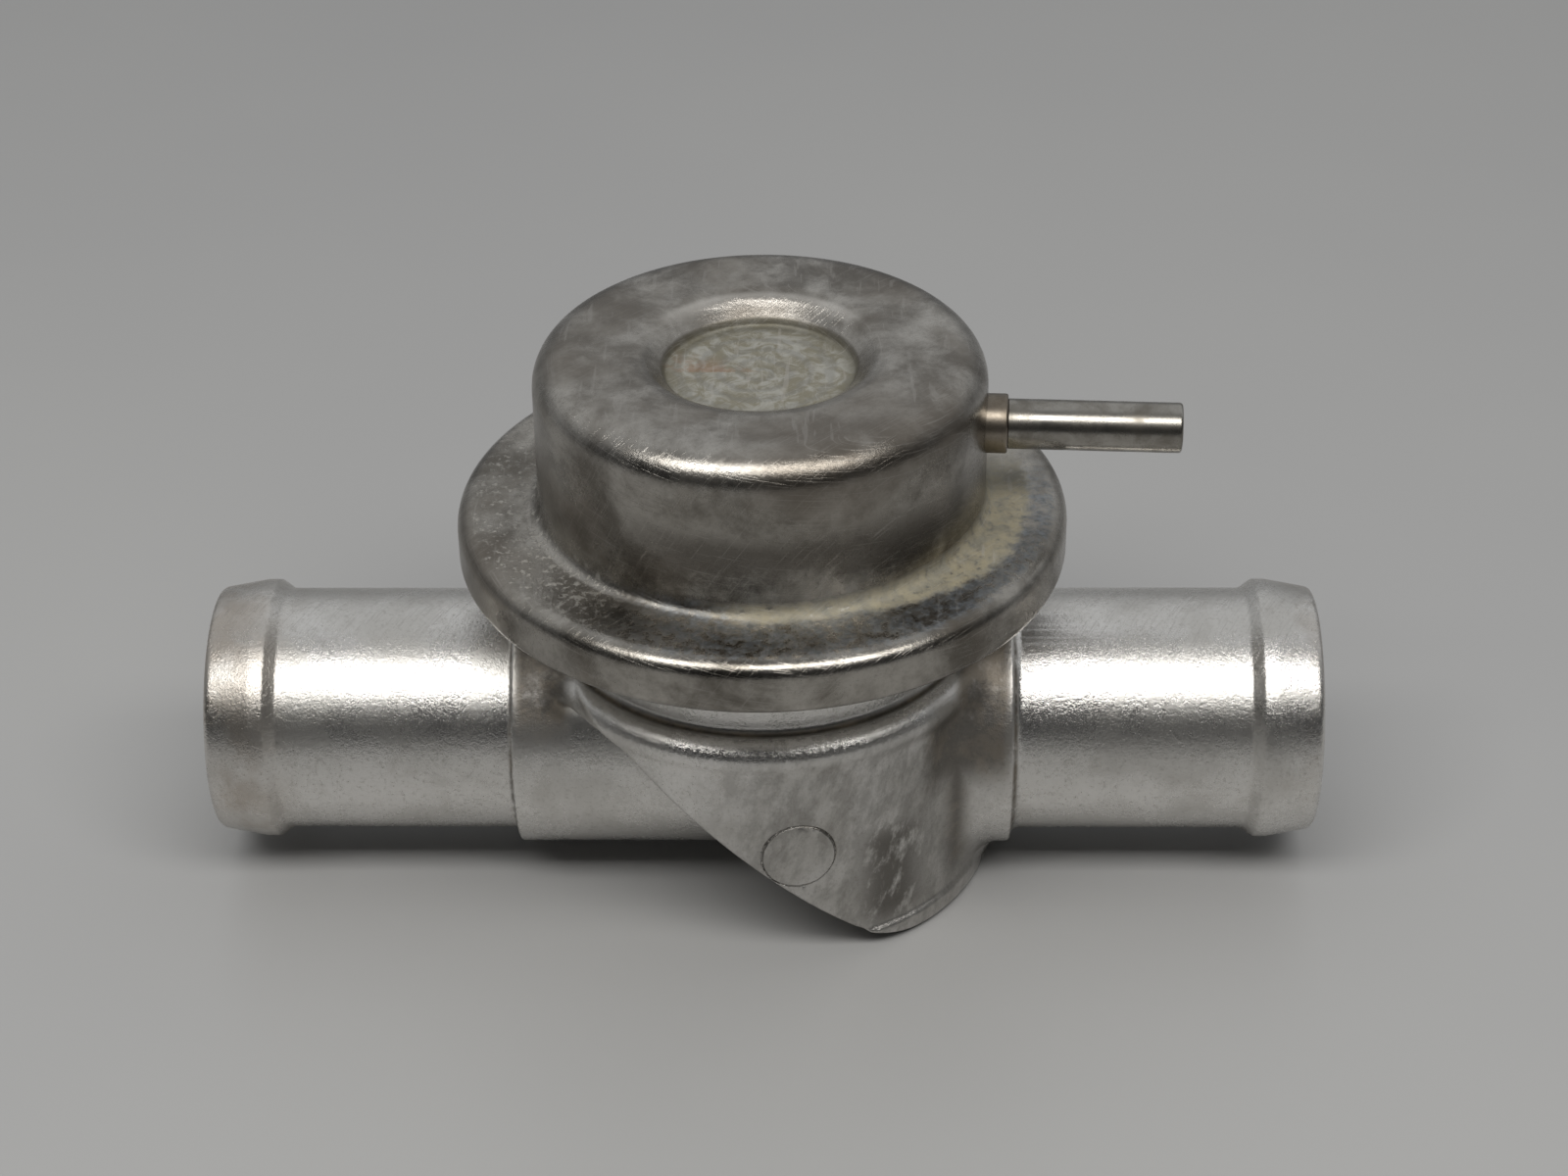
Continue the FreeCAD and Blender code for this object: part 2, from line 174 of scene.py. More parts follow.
def sheet_corners(outside, thickness):
    """Corners of a bent sheet's section, from those of its outside, which starts on the axis."""
    points = np.array([corner[:2] for corner in outside])
    steps = np.diff(points, axis=0)
    steps /= np.linalg.norm(steps, axis=1, keepdims=True)
    inward = np.stack((steps[:, 1], -steps[:, 0]), 1)
    inside = [(*(points[0] + inward[0] * thickness), 0)]
    for index in range(1, len(steps)):
        before, after = inward[index - 1], inward[index]
        shift = (before + after) * thickness / (1 + before @ after)
        change = -thickness if steps[index] @ before > 0 else thickness
        inside.append((*(points[index] + shift), outside[index][2] + change))
    inside.append((*(points[-1] + inward[-1] * thickness), outside[-1][2]))
    return outside + inside[::-1]


def refined(outline, longest):
    """The same closed outline with its long edges cut into steps no longer than longest."""
    points = []
    for start, end in zip(outline, np.roll(outline, -1, 0)):
        count = max(1, math.ceil(np.linalg.norm(end - start) / longest))
        points += [start + (end - start) * i / count for i in range(count)]
    return np.array(points)


def outline_distance(a, b, outline):
    """Signed distance of the points (a, b) to a closed outline, negative inside."""
    squared = np.full(a.shape, np.inf)
    inside = np.zeros(a.shape, bool)
    for (a0, b0), (a1, b1) in zip(outline, np.roll(outline, -1, 0)):
        da, db = a1 - a0, b1 - b0
        length = da * da + db * db
        if length < 1e-18:
            continue
        along = np.clip(((a - a0) * da + (b - b0) * db) / length, 0, 1)
        gap_a = a - a0 - da * along
        gap_b = b - b0 - db * along
        squared = np.minimum(squared, gap_a * gap_a + gap_b * gap_b)
        if b0 != b1:
            crosses = (b0 > b) != (b1 > b)
            inside ^= crosses & (a < a0 + (b - b0) * da / db)
    return np.where(inside, -1.0, 1.0) * np.sqrt(squared)


def soft_min(a, b, reach):
    """The lower of two distances, with a rounded valley of the given reach."""
    overlap = np.maximum(reach - np.abs(a - b), 0) / reach
    return np.minimum(a, b) - overlap * overlap * reach / 4


def soft_max(a, b, reach):
    return -soft_min(-a, -b, reach)


# ---- The casting as a distance field ----
INWARD = -20 * MM           # closes an outline past its axis, where no wall is wanted


def stub(step_round):
    """Half of the pipe's outside, from the sleeve's step to the end of the stub."""
    return [
        (sleeve_half, sleeve_r, 0.35 * MM),
        (sleeve_half, hose_r, step_round),
        (bead_foot, hose_r, 0.6 * MM),
        (bead_foot + bead_rise, bead_r, 0.35 * MM),
        (bead_foot + bead_rise + bead_land, bead_r, 0.6 * MM),
        (pipe_half, hose_r + 0.05 * MM, 0.8 * MM),
        (pipe_half, INWARD, 0),
    ]


pipe_outline = rounded_outline(
    stub(1.0 * MM)[::-1] + [(-x, r, rounding) for x, r, rounding in stub(0.35 * MM)]
)
drum_outline = rounded_outline([
    (INWARD, body_bottom_z, 0),
    (foot_r, body_bottom_z, 0.6 * MM),
    (foot_r, foot_h, 0.25 * MM),
    (housing_r, foot_h + 0.5 * MM, 0.35 * MM),
    (housing_r, shoulder_z, 1.6 * MM),
    (INWARD, shoulder_z, 0),
])
ledge_outline = rounded_outline([
    (INWARD, ledge_z, 0),
    (housing_r, ledge_z, 0.4 * MM),
    (housing_r, shoulder_z, 1.6 * MM),
    (INWARD, shoulder_z, 0),
])


def oblique_outline(wall):
    """The space above the flat bottom and the slanting underside, both moved in by wall."""
    reach = 90 * MM
    foot_x = oblique_foot_x + wall * math.tan(oblique_slope / 2)
    return rounded_outline([
        (foot_x, body_bottom_z + wall, oblique_round - wall),
        (reach, body_bottom_z + wall, 0),
        (reach, reach, 0),
        (foot_x - reach / math.tan(oblique_slope), body_bottom_z + wall + reach, 0),
    ], 24)


underside_outline = oblique_outline(0)
chamber_floor_outline = oblique_outline(floor_wall)
neck_outline = rounded_outline([
    (INWARD, shoulder_z - 4 * MM, 0),
    (neck_r, shoulder_z - 4 * MM, 0),
    (neck_r, flange_under_z, 1.5 * MM),
    (flange_r, flange_under_z, 0.3 * MM),
    (flange_r, flange_top_z, 0.2 * MM),
    (INWARD, flange_top_z, 0),
])


def pin_mark_distance(x, y, z):
    """Distances to a pin mark's raised disc, to the groove round it, and to the groove's circle."""
    angle = -math.acos(mark_x / housing_r)
    out = x * math.cos(angle) + y * math.sin(angle)
    side = -x * math.sin(angle) + y * math.cos(angle)
    from_axis = np.hypot(side, z - mark_z)
    from_ring = np.abs(from_axis - mark_ring_r)
    disc = np.maximum(from_axis - mark_r, out - housing_r - mark_proud)
    disc = np.maximum(disc, housing_r - 3 * MM - out)
    groove = np.maximum(from_ring - 0.11 * MM, -out)
    return disc, groove, np.where(out > 0, from_ring, 1.0)


def casting_distance(points):
    """Signed distance to the casting's surface, negative in the metal."""
    x, y, z = points.T
    from_z = np.hypot(x, y)
    from_pipe = np.hypot(y, z - pipe_z)
    pipe = outline_distance(x, from_pipe, pipe_outline)
    drum = outline_distance(from_z, z, drum_outline)
    disc, groove, _ = pin_mark_distance(x, y, z)
    marked = np.maximum(np.minimum(drum, disc), -np.maximum(groove, -drum - mark_groove_depth))
    drum = soft_max(marked, outline_distance(x, z, underside_outline), 0.7 * MM)
    drum = soft_min(drum, outline_distance(from_z, z, ledge_outline), 1.6 * MM)
    neck = outline_distance(from_z, z, neck_outline)
    solid = soft_min(pipe, drum, 2.6 * MM)
    solid = soft_min(solid, neck, 0.8 * MM)

    knee = np.sqrt(x * x + y * y + (z - pipe_z) ** 2)
    riser_wall = np.maximum(from_z - seat_outer_r, np.maximum(pipe_z - z, z - seat_z))
    run_wall = np.maximum(from_pipe - elbow_r, x)
    elbow = soft_min(np.minimum(knee - elbow_r, run_wall), riser_wall, 1.5 * MM)
    well = soft_max(from_z - chamber_r, outline_distance(x, z, chamber_floor_outline), 1.5 * MM)
    well = soft_max(well, -elbow, 1.0 * MM)
    outlet = np.maximum(from_pipe - bore_r, elbow_r + 0.5 * MM - x)
    inlet = np.minimum(np.maximum(from_pipe - bore_r, x), knee - bore_r)
    riser = np.maximum(from_z - seat_bore_r, pipe_z - z)
    mouth = np.maximum(from_pipe - bore_r - 0.5 * MM, pipe_half - np.abs(x)) * 0.7
    hollow = soft_min(soft_min(inlet, riser, 1.0 * MM), soft_min(well, outlet, 1.0 * MM), 0.2 * MM)
    hollow = soft_min(hollow, mouth, 0.6 * MM)
    return soft_max(solid, -hollow, 0.4 * MM)


def slope_of(distance, points, step=0.004 * MM):
    """Gradient of a distance field, from four samples round each point."""
    corners = np.array([(1, 1, 1), (1, -1, -1), (-1, 1, -1), (-1, -1, 1)], float)
    slope = sum(distance(points + corner * step)[:, None] * corner for corner in corners)
    return slope / (4 * step)


def points_of(mesh):
    points = np.empty(len(mesh.vertices) * 3, np.float32)
    mesh.vertices.foreach_get("co", points)
    return points.reshape(-1, 3).astype(float)


def settle(mesh, distance, rounds):
    """Moves a mesh's points onto the zero level of a distance field."""
    points = points_of(mesh)
    for _ in range(rounds):
        slope = slope_of(distance, points)
        squared = np.maximum((slope * slope).sum(1), 0.25)
        move = distance(points)[:, None] * slope / squared[:, None]
        size = np.linalg.norm(move, axis=1, keepdims=True)
        points -= move * np.minimum(1, 0.4 * MM / np.maximum(size, 1e-12))
    mesh.vertices.foreach_set("co", points.astype(np.float32).ravel())
    mesh.update()
    return points


def with_modifiers(obj):
    """Puts an object's modifiers into its mesh."""
    bpy.context.view_layer.update()
    flat = bpy.data.meshes.new_from_object(obj.evaluated_get(bpy.context.evaluated_depsgraph_get()))
    obj.modifiers.clear()
    obj.data = flat
    return obj


def new_object(name, mesh):
    obj = bpy.data.objects.new(name, mesh)
    bpy.context.scene.collection.objects.link(obj)
    return obj


def sharpened(mesh):
    """Splits the faces round the pin mark, so that its fine groove shows."""
    points = points_of(mesh)
    near = pin_mark_distance(*points.T)[2] < 0.45 * MM
    near &= np.hypot(points[:, 0], points[:, 1]) > housing_r - 0.5 * MM
    work = bmesh.new()
    work.from_mesh(mesh)
    work.verts.ensure_lookup_table()
    edges = [edge for edge in work.edges if all(near[vert.index] for vert in edge.verts)]
    bmesh.ops.subdivide_edges(work, edges=edges, cuts=3, use_grid_fill=True)
    bmesh.ops.triangulate(work, faces=work.faces[:])
    work.to_mesh(mesh)
    work.free()


def make_casting():
    """The casting as one skin with cast fillets: a voxel copy settled on the distance field."""
    obj = new_object("casting", frame["nodes"]["valve_body"].data.copy())
    obj.data.materials.clear()
    remesh = obj.modifiers.new("voxels", "REMESH")
    remesh.mode = "VOXEL"
    remesh.voxel_size = 0.32 * MM
    with_modifiers(obj)
    settle(obj.data, casting_distance, 2)
    thin = obj.modifiers.new("thin", "DECIMATE")
    thin.ratio = CASTING_TRIANGLES / (2 * len(obj.data.polygons))
    with_modifiers(obj)
    mesh = obj.data
    sharpened(mesh)
    points = settle(mesh, casting_distance, 2)
    slope = slope_of(casting_distance, points)
    normals = slope / np.linalg.norm(slope, axis=1, keepdims=True)
    mesh.shade_smooth()
    mesh.normals_split_custom_set_from_vertices(normals)
    return obj


# ---- Turned pieces ----
def lathe(name, outline, segments, place=Matrix.Identity(4)):
    """A mesh turned about Z from a closed outline of points (radius, height), moved by place."""
    radii, heights = np.array(outline).T
    angles = np.arange(segments) * 2 * math.pi / segments
    on_axis = np.abs(radii) < 1e-9
    verts = []
    first = []
    for radius, height, axis in zip(radii, heights, on_axis):
        first.append(len(verts))
        if axis:
            verts.append((0, 0, height))
        else:
            verts += [(radius * math.cos(a), radius * math.sin(a), height) for a in angles]
    faces = []
    count = len(radii)
    for i in range(count):
        j = (i + 1) % count
        if on_axis[i] and on_axis[j]:
            continue
        for k in range(segments):
            n = (k + 1) % segments
            low, low_next = (first[i],) * 2 if on_axis[i] else (first[i] + k, first[i] + n)
            high, high_next = (first[j],) * 2 if on_axis[j] else (first[j] + k, first[j] + n)
            faces.append(list(dict.fromkeys((low, low_next, high_next, high))))
    mesh = bpy.data.meshes.new(name)
    mesh.from_pydata(verts, [], faces)
    mesh.transform(place)
    mesh.update()
    mesh.shade_smooth()
    return new_object(name, mesh)


def make_can():
    """The drawn can: dimple, rounded top, foot, rim and the edge rolled under the flange."""
    dimple_z = can_top_z - dimple_depth
    corners = sheet_corners([
        (0, dimple_z, 0),
        (dimple_r, dimple_z, 0.5 * MM),
        (wall_top_r, can_top_z - wall_top_drop, 1.2 * MM),
        (lip_r, can_top_z - lip_drop, 2.2 * MM),
        (lip_outer_r, can_top_z, 4.0 * MM),
        (can_r, can_top_z, 3.4 * MM),
        (can_r, rim_top_z, 1.3 * MM),
        (rim_r, rim_top_z, 1.9 * MM),
        (rim_r, rim_under_z, 1.2 * MM),
        (rolled_edge_r, rim_under_z, 0.4 * MM),
    ], sheet)
    outline = rounded_outline(corners, 9)
    return lathe("can_shell", refined(outline, 1.2 * MM), 288)


def nipple_place():
    """Turns a piece made about Z to lie along the nipple's axis."""
    turn = nipple_axis.to_track_quat("Z", "Y").to_matrix().to_4x4()
    return Matrix.Translation((0, 0, nipple_z)) @ turn


def make_nipple():
    outline = rounded_outline([
        (nipple_bore_r, spigot_start, 0.1 * MM),
        (spigot_r, spigot_start, 0.1 * MM),
        (spigot_r, collar_end, 0),
        (nipple_r, collar_end, 0.1 * MM),
        (nipple_r, nipple_reach, 0.35 * MM),
        (nipple_bore_r, nipple_reach, 0.2 * MM),
    ], 5)
    return lathe("nipple_tube", refined(outline, 1.0 * MM), 96, nipple_place())


def make_collar():
    """The brazed collar round the nipple, from inside the can's wall to the nipple's shoulder."""
    hole_r = spigot_r + 0.02 * MM
    outline = rounded_outline([
        (hole_r, collar_start, 0),
        (collar_r, collar_start, 0),
        (collar_r, collar_end, 0.25 * MM),
        (hole_r, collar_end, 0),
    ], 5)
    return lathe("nipple_braze", refined(outline, 0.4 * MM), 96, nipple_place())


def make_spring():
    """The return spring as a round wire along its helix, with its end turns closed."""
    _, low_z, high_z = across("return_spring")
    end_pitch = 2 * spring_wire_r + 0.05 * MM
    height = high_z - low_z - 2 * spring_wire_r
    turns = height / (2 * end_pitch) + 1
    steps = int(turns * 72)
    around = 20
    upward = Vector((0, 0, 1))
    verts = []
    for step in range(steps + 1):
        turn = turns * step / steps
        left = turns - turn
        if turn < 1:
            rise = end_pitch * turn * turn
        elif left < 1:
            rise = height - end_pitch * left * left
        else:
            rise = end_pitch * (2 * turn - 1)
        angle = 2 * math.pi * turn
        out = Vector((math.cos(angle), math.sin(angle), 0))
        centre = out * spring_mean_r + upward * (low_z + spring_wire_r + rise)
        for k in range(around):
            spin = 2 * math.pi * k / around
            verts.append(centre + (out * math.cos(spin) + upward * math.sin(spin)) * spring_wire_r)
    faces = [list(range(around))]
    for step in range(steps):
        for k in range(around):
            n = (k + 1) % around
            low = step * around
            faces.append([low + k, low + around + k, low + around + n, low + n])
    faces.append([steps * around + k for k in reversed(range(around))])
    mesh = bpy.data.meshes.new("spring_coil")
    mesh.from_pydata(verts, [], faces)
    mesh.shade_smooth()
    mesh.update()
    return new_object("spring_coil", mesh)


def make_diaphragm():
    """The rubber diaphragm, which stretches between the clamped rim and the stem."""
    outer_r, low_z, high_z = across("diaphragm")
    outline = rounded_outline([
        (stem_hole_r, high_z - rubber, 0),
        (17.2 * MM, high_z - rubber, 0.8 * MM),
        (20.6 * MM, low_z, 0.8 * MM),
        (outer_r, low_z, 0.2 * MM),
        (outer_r, rim_top_z - sheet, 0.2 * MM),
        (20.9 * MM, rim_top_z - sheet, 1.2 * MM),
        (17.5 * MM, high_z, 1.0 * MM),
        (stem_hole_r, high_z, 0),
    ], 6)
    return lathe("diaphragm_skin", refined(outline, 0.5 * MM), 144)


# ---- Materials ----
class Net:
    """A material's node tree, with one short method for each kind of step.

    Its x, y and z are in millimetres; the sizes of noise and bumps are in metres.
    """

    def __init__(self, name):
        self.material = bpy.data.materials.new(name)
        self.material.use_nodes = True
        self.tree = self.material.node_tree
        self.shader = self.tree.nodes["Principled BSDF"]
        self.where = self.node("ShaderNodeTexCoord").outputs["Object"]
        split = self.node("ShaderNodeSeparateXYZ")
        self.tree.links.new(self.where, split.inputs[0])
        self.x, self.y, self.z = (self.times(part, 1 / MM) for part in split.outputs)

    def node(self, kind, **settings):
        made = self.tree.nodes.new(kind)
        for key, value in settings.items():
            setattr(made, key, value)
        return made

    def feed(self, socket, value):
        if isinstance(value, bpy.types.NodeSocket):
            self.tree.links.new(value, socket)
        elif isinstance(value, tuple) and len(value) == 3 and socket.type == "RGBA":
            socket.default_value = (*value, 1)
        else:
            socket.default_value = value

    def math(self, operation, *values, clamp=False):
        made = self.node("ShaderNodeMath", operation=operation, use_clamp=clamp)
        for socket, value in zip(made.inputs, values):
            self.feed(socket, value)
        return made.outputs[0]

    def times(self, a, b):
        return self.math("MULTIPLY", a, b)

    def plus(self, a, b):
        return self.math("ADD", a, b)

    def highest(self, first, *others):
        for other in others:
            first = self.math("MAXIMUM", first, other)
        return first

    def step(self, value, low, high):
        """0 below low, 1 above high, smooth between; low may be the higher of the two."""
        made = self.node("ShaderNodeMapRange", interpolation_type="SMOOTHSTEP")
        flip = low > high
        numbers = (high, low, 1.0, 0.0) if flip else (low, high, 0.0, 1.0)
        self.feed(made.inputs[0], value)
        for socket, number in zip(made.inputs[1:5], numbers):
            socket.default_value = number
        return made.outputs[0]

    def band(self, value, low, high, soft):
        """1 between low and high, fading out over soft on both sides."""
        rise = self.step(value, low - soft, low + soft)
        fall = self.step(value, high + soft, high - soft)
        return self.times(rise, fall)

    def stretched(self, sizes, turn=(0, 0, 0)):
        """Coordinates in which one unit is sizes metres along each of the turned axes."""
        made = self.node("ShaderNodeMapping", vector_type="TEXTURE")
        self.feed(made.inputs["Vector"], self.where)
        made.inputs["Rotation"].default_value = turn
        made.inputs["Scale"].default_value = sizes
        return made.outputs[0]

    def noise(self, size, detail=4.0, rough=0.55, vector=None, twist=0.0):
        """Noise with features of about size metres, or of size 1 in a vector of its own."""
        made = self.node("ShaderNodeTexNoise")
        self.feed(made.inputs["Vector"], self.where if vector is None else vector)
        made.inputs["Scale"].default_value = 1 / size
        made.inputs["Detail"].default_value = detail
        made.inputs["Roughness"].default_value = rough
        made.inputs["Distortion"].default_value = twist
        return made.outputs[0]

    def mix(self, factor, a, b):
        made = self.node("ShaderNodeMix", data_type="RGBA")
        self.feed(made.inputs["Factor"], factor)
        self.feed(made.inputs["A"], a)
        self.feed(made.inputs["B"], b)
        return made.outputs["Result"]

    def blend(self, factor, a, b):
        made = self.node("ShaderNodeMix", data_type="FLOAT")
        self.feed(made.inputs["Factor"], factor)
        self.feed(made.inputs["A"], a)
        self.feed(made.inputs["B"], b)
        return made.outputs["Result"]

    def polar(self):
        """Distance from the can's axis in millimetres, and the angle round it in degrees."""
        squared = self.plus(self.times(self.x, self.x), self.times(self.y, self.y))
        radius = self.math("SQRT", squared)
        angle = self.times(self.math("ARCTAN2", self.y, self.x), 180 / math.pi)
        return radius, angle

    def bump(self, height, depth, strength=1.0, under=None):
        made = self.node("ShaderNodeBump")
        made.inputs["Strength"].default_value = strength
        made.inputs["Distance"].default_value = depth
        self.feed(made.inputs["Height"], height)
        if under is not None:
            self.feed(made.inputs["Normal"], under)
        return made.outputs[0]

    def finish(self, colour, roughness, normal, metallic=1.0):
        self.feed(self.shader.inputs["Base Color"], colour)
        self.feed(self.shader.inputs["Roughness"], roughness)
        self.feed(self.shader.inputs["Normal"], normal)
        self.feed(self.shader.inputs["Metallic"], metallic)
        return self.material


def scratches(net, turn, length, width, amount):
    """Sparse fine scratches along one direction."""
    vector = net.stretched((length, width, length), turn)
    lines = net.noise(1.0, 2.0, 0.6, vector)
    return net.step(lines, amount, amount + 0.06)


def casting_dirt_and_shade(net, patch):
    """Darkening of the casting: grime at the sleeve's steps; painted shade in the fine groove round
    the pin mark; painted shade with some grime in the groove under the neck, in the fillet beside
    the drum and on the sleeves' tops under the rim.
    """
    blotch = net.noise(2.6 * MM, 6, 0.7)
    radius, _ = net.polar()
    side = net.math("ABSOLUTE", net.x)
    # painted shade, with some grime, in the groove between the neck and the drum's shoulder
    neck = net.times(net.band(net.z, 26.4, 27.2, 0.25), net.step(radius, 21.9, 21.3))
    steps = net.times(net.band(side, 25.3, 25.75, 0.2), net.step(blotch, 0.35, 0.6))
    # painted shade in the fine groove round the pin mark
    beside_mark = net.math("POWER", net.plus(net.x, -mark_x / MM), 2.0)
    above_mark = net.math("POWER", net.plus(net.z, -mark_z / MM), 2.0)
    mark_ring_shade = net.band(net.math("SQRT", net.plus(beside_mark, above_mark)), 3.66, 3.74, 0.1)
    mark_ring_shade = net.times(net.times(mark_ring_shade, net.step(net.y, 0, -10)), net.step(patch, 0.3, 0.6))
    # painted shade, with some grime, on the sleeves' tops under the rim
    under_rim_shade_and_grime = net.times(net.band(side, 19.5, 25.0, 0.8), net.step(net.z, 18.5, 23.5))
    under_rim_shade_and_grime = net.times(under_rim_shade_and_grime, net.step(net.z, 30.5, 29.0))
    under_rim_shade_and_grime = net.times(under_rim_shade_and_grime, net.plus(net.times(net.step(blotch, 0.2, 0.5), 0.5), 0.45))
    # painted shade, with some grime, in the fillet between the drum and the right sleeve and on
    # that sleeve beside the drum
    fillet_shade_and_grime = net.times(net.band(net.x, 18.6, 20.6, 1.2), net.band(net.z, 4, 25, 3))
    valley = net.times(net.band(net.x, 16.5, 24.9, 1.0), net.band(net.z, 16.5, 25.5, 2.5))
    valley = net.times(valley, net.step(net.y, -4, -7))
    fillet_shade_and_grime = net.times(net.highest(fillet_shade_and_grime, valley), net.step(blotch, 0.18, 0.42))
    layers = ((neck, 0.92), (steps, 0.8), (mark_ring_shade, 0.7), (fillet_shade_and_grime, 0.75), (under_rim_shade_and_grime, 0.85))
    return net.highest(*(net.times(layer, amount) for layer, amount in layers))


def stub_tint(net):
    """Brown tint round the end of the inlet stub, paler at the outlet's."""
    blush = net.step(net.noise(7 * MM, 4, 0.6), 0.42, 0.62)
    inlet = net.times(net.step(net.x, -46.2, -54.5), net.plus(net.times(blush, 0.7), 0.3))
    outlet = net.times(net.step(net.x, 50.5, 56.5), net.times(blush, 0.5))
    return net.highest(inlet, outlet)


def drum_smear_and_shade(net):
    """Painted shade low on the right of the drum's front, streaked like smears, and a lighter
    darkening over the rest of its front.
    """
    vector = net.stretched((2.2 * MM, 2.2 * MM, 5.0 * MM), (0, 0.35, 0))
    streak = net.noise(1.0, 6, 0.7, vector)
    # painted shade on the right of the drum's front, broken up by streaks
    low_right = net.times(net.band(net.x, 9.5, 16.5, 3), net.band(net.z, 2, 15.5, 3))
    smear_and_shade = net.times(low_right, net.step(streak, 0.28, 0.50))
    drum = net.times(net.band(net.x, -4, 21.5, 6), net.step(net.z, 26.2, 24))
    front_darkening = net.times(drum, net.plus(net.times(net.step(streak, 0.40, 0.62), 0.35), 0.25))
    return net.times(net.highest(smear_and_shade, front_darkening), net.step(net.y, -6, -12))


def cast_aluminium():
    net = Net("cast_aluminium")
    cloud = net.noise(11 * MM, 6, 0.6, twist=0.6)
    patch = net.noise(3.5 * MM, 5, 0.65, twist=0.4)
    fine = net.noise(0.42 * MM, 4, 0.75)
    grain = net.noise(0.17 * MM, 2, 0.7)
    dirt_and_shade = casting_dirt_and_shade(net, patch)
    smear_and_shade = drum_smear_and_shade(net)
    # tool marks: slanted ones on top of the stubs, brushed ones on the drum
    slanted = scratches(net, (0, 0, math.radians(62)), 3.0 * MM, 0.13 * MM, 0.57)
    slanted = net.times(slanted, net.step(net.z, 21.5, 26.2))
    slanted = net.times(slanted, net.step(net.math("ABSOLUTE", net.x), 24, 28))
    brushed = scratches(net, (0, 0.5, 0.4), 2.5 * MM, 0.12 * MM, 0.60)
    brushed = net.times(brushed, net.step(net.polar()[0], 24.2, 23.4))

    colour = net.mix(net.step(cloud, 0.35, 0.68), (0.74, 0.725, 0.70), (0.60, 0.585, 0.555))
    colour = net.mix(net.times(net.step(patch, 0.5, 0.72), 0.45), colour, (0.52, 0.50, 0.465))
    colour = net.mix(net.times(net.step(fine, 0.50, 0.70), 0.55), colour, (0.42, 0.405, 0.375))
    # grime, and painted shade in the grooves, the fillet and under the rim
    dirt_and_shade_colour = net.mix(net.step(patch, 0.42, 0.6), (0.085, 0.072, 0.055), (0.20, 0.165, 0.12))
    colour = net.mix(dirt_and_shade, colour, dirt_and_shade_colour)
    colour = net.mix(net.times(stub_tint(net), 0.6), colour, (0.40, 0.34, 0.28))
    # painted shade on the right of the drum's front, and a lighter darkening over the rest of it
    colour = net.mix(net.times(smear_and_shade, 0.92), colour, (0.14, 0.13, 0.115))
    colour = net.mix(net.times(slanted, 0.35), colour, (0.42, 0.40, 0.375))
    colour = net.mix(net.times(brushed, 0.18), colour, (0.42, 0.40, 0.375))
    roughness = net.blend(net.step(cloud, 0.3, 0.7), 0.22, 0.31)
    roughness = net.plus(roughness, net.times(net.step(fine, 0.45, 0.8), 0.08))
    roughness = net.blend(net.highest(dirt_and_shade, net.times(smear_and_shade, 0.6)), roughness, 0.55)
    normal = net.bump(grain, 0.03 * MM, 0.8)
    normal = net.bump(fine, 0.055 * MM, 0.8, normal)
    normal = net.bump(net.noise(0.8 * MM, 2, 0.5), 0.04 * MM, 0.4, normal)
    normal = net.bump(slanted, 0.01 * MM, 0.5, normal)
    return net.finish(colour, roughness, normal)


def dimple_floor(net, radius, angle, patch):
    """How much of the dimple's matt floor is here, its colour, and the swirls of the tool."""
    level = can_top_z / MM
    floor = net.times(net.step(radius, 9.9, 9.2), net.step(net.z, level - 3.4, level - 2.9))
    turn = net.plus(net.times(radius, 3.1), net.times(net.noise(2.6 * MM, 4, 0.6), 9.0))
    swirl = net.math("SINE", net.plus(turn, net.times(angle, math.pi / 180)))
    lime = net.noise(2.2 * MM, 6, 0.7, twist=1.2)
    rust = net.times(net.band(angle, 160, 200, 25), net.step(patch, 0.45, 0.6))
    colour = net.mix(net.step(lime, 0.40, 0.64), (0.215, 0.20, 0.15), (0.36, 0.355, 0.32))
    colour = net.mix(net.times(net.step(swirl, -0.2, 0.9), 0.35), colour, (0.17, 0.17, 0.16))
    colour = net.mix(net.times(rust, 0.6), colour, (0.24, 0.125, 0.06))
    colour = net.mix(net.times(net.step(radius, 7.6, 9.2), 0.6), colour, (0.13, 0.12, 0.085))
    return floor, colour, swirl


def rim_deposits(net, radius, angle, speck):
    """On the rim's flat: white bloom at the left, zinc grey in front, beige lime at the foot."""
    level = rim_top_z / MM
    flat = net.times(net.band(radius, 22.2, 29.3, 0.5), net.step(net.z, level + 1.9, level + 1.1))
    left = net.step(net.math("ABSOLUTE", angle), 112, 150)
    white = net.times(net.times(flat, left), net.step(speck, 0.50, 0.66))
    zinc = net.times(flat, net.band(angle, -115, 8, 14))
    zinc = net.times(zinc, net.step(net.noise(1.3 * MM, 6, 0.72), 0.38, 0.62))
    reach = net.blend(net.step(angle, -70, -22), 23.7, 27.0)
    ragged = net.plus(radius, net.times(net.plus(net.noise(2.4 * MM, 6, 0.7), -0.5), 3.4))
    inside = net.step(net.math("SUBTRACT", reach, ragged), -0.5, 0.9)
    beige = net.times(net.times(flat, inside), net.band(angle, -98, 14, 10))
    beige = net.times(beige, net.step(speck, 0.22, 0.50))
    return white, zinc, beige


def can_shade_and_smudge(net, radius, angle, cloud, top):
    """Painted shade: a dark band low on the front of the wall, standing for the dark rim reflected
    there; and darker smudged metal at the back of the top.
    """
    # painted shade: the band low on the front of the wall
    ragged = net.plus(net.z, net.times(net.plus(cloud, -0.5), 12))
    low = net.times(net.band(ragged, 44.0, 49.5, 1.5), net.band(angle, -120, -28, 16))
    low = net.times(low, net.step(radius, 23.6, 22.8))
    back = net.times(net.times(top, net.step(net.y, 6, 17)), net.step(cloud, 0.38, 0.58))
    return net.highest(low, net.times(back, 0.6))


